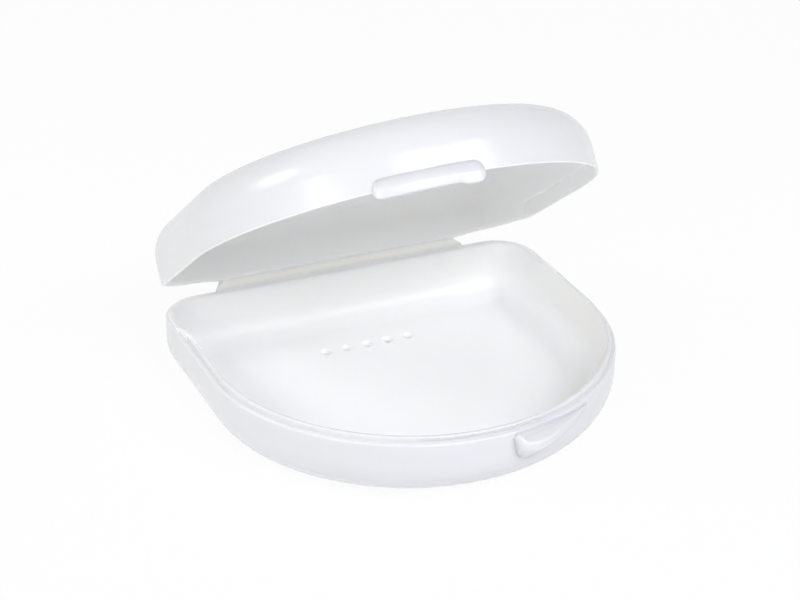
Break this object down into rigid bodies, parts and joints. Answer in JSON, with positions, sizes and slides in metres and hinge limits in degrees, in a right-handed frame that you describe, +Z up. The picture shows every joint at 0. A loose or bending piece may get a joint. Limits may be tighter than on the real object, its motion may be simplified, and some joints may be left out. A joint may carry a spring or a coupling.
{
  "type": "dental appliance box",
  "caption": "Round-fronted white clamshell box with a living hinge along its flat back, a locating lip, vent holes and two thumb tabs side by side.",
  "frame": {"origin": "centre of the tray's outline in plan, on the surface that it rests on", "axes": "+X along the hinge, to the right as seen from the front; the round front faces -Y; +Z up"},
  "size_m": [0.08, 0.0791, 0.0645],
  "materials": {
    "white_polypropylene": "glossy, as moulded",
    "hinge_polypropylene": "thin, slightly see-through, warmer than the shells"
  },
  "bodies": {
    "base": {"base_tray": "white_polypropylene", "base_locating_lip": "white_polypropylene", "base_snap_ridge": "white_polypropylene", "base_thumb_ledge": "white_polypropylene", "base_hinge_flange": "hinge_polypropylene", "living_hinge": "hinge_polypropylene"},
    "lid": {"lid_hinge_flange": "hinge_polypropylene", "lid_shell": "white_polypropylene", "lid_skirt": "white_polypropylene", "lid_thumb_tab": "white_polypropylene"}
  },
  "joints": [
    {"name": "lid_hinge", "type": "hinge", "parent": "base", "child": "lid", "pos_m": [0, 0.0379, 0.0126], "axis": [-1, 0, 0], "range_deg": [-37.5, 137.5]}
  ]
}
